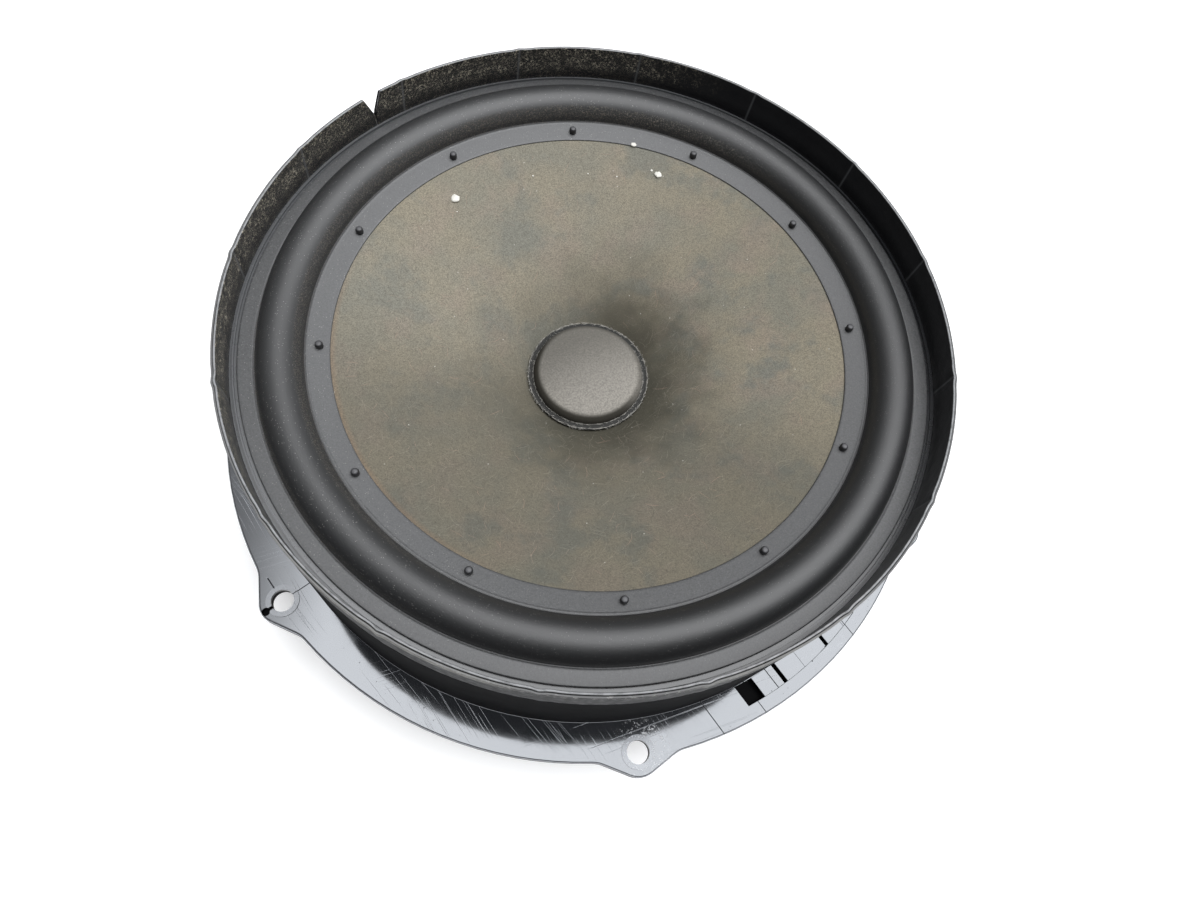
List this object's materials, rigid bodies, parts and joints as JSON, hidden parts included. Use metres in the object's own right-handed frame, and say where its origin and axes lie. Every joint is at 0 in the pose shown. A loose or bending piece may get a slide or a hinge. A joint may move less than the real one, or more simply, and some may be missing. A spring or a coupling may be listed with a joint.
{
  "type": "car door woofer",
  "caption": "Round door-mounted woofer: fibrous cone, half-roll rubber surround, tall black plastic basket with an eared flange and a rear magnet motor.",
  "frame": {"origin": "on the cone's axis, in the plane of the mounting flange's rear face", "axes": "+Z along the cone's axis out of the speaker to the listener; the connector lies at 53.5 degrees clockwise from +X"},
  "size_m": [0.2266, 0.234, 0.085],
  "materials": {
    "basket_plastic": "moulded black thermoplastic, high gloss on the flange",
    "seal_film": "thin black creased strip, dusty inside",
    "band_tape": "scuffed dark grey wrap",
    "surround_rubber": "satin black moulded rubber",
    "cone_paper": "long-fibre pulp, olive grey with brown and green mottling",
    "cap_felt": "light grey non-woven felt",
    "former_film": "amber film",
    "winding_copper": "enamelled copper wire",
    "wrap_paper": "brown kraft paper",
    "pad_brass": "stamped brass, tinned",
    "spider_cloth": "resin-treated woven cotton",
    "motor_steel": "zinc-plated turned steel",
    "magnet_ferrite": "ground ferrite",
    "screw_steel": "zinc-plated steel",
    "housing_plastic": "moulded black thermoplastic",
    "contact_brass": "tin-plated brass",
    "lead_braid": "flexible braided copper",
    "gasket_foam": "soft black closed-cell foam"
  },
  "bodies": {
    "chassis": {"basket": "basket_plastic", "seal_lip": "seal_film", "rim_band": "band_tape", "surround": "surround_rubber", "spider": "spider_cloth", "top_plate": "motor_steel", "magnet": "magnet_ferrite", "yoke": "motor_steel", "motor_screws": "screw_steel", "connector_housing": "housing_plastic", "bay_cover": "housing_plastic", "terminal_positive": "contact_brass", "terminal_negative": "contact_brass", "tinsel_lead_positive": "lead_braid", "tinsel_lead_negative": "lead_braid", "flange_gasket": "gasket_foam"},
    "cone_assembly": {"cone": "cone_paper", "dust_cap": "cap_felt", "coil_former": "former_film", "coil_winding": "winding_copper", "former_wrap": "wrap_paper", "coil_pad_positive": "pad_brass", "coil_pad_negative": "pad_brass"}
  },
  "joints": [
    {"name": "cone_travel", "type": "slide", "parent": "chassis", "child": "cone_assembly", "axis": [0, 0, 1], "range_m": [-0.006, 0.006], "stiffness_N_per_m": 2500, "deforming": ["surround", "spider", "tinsel_lead_positive", "tinsel_lead_negative"]}
  ]
}
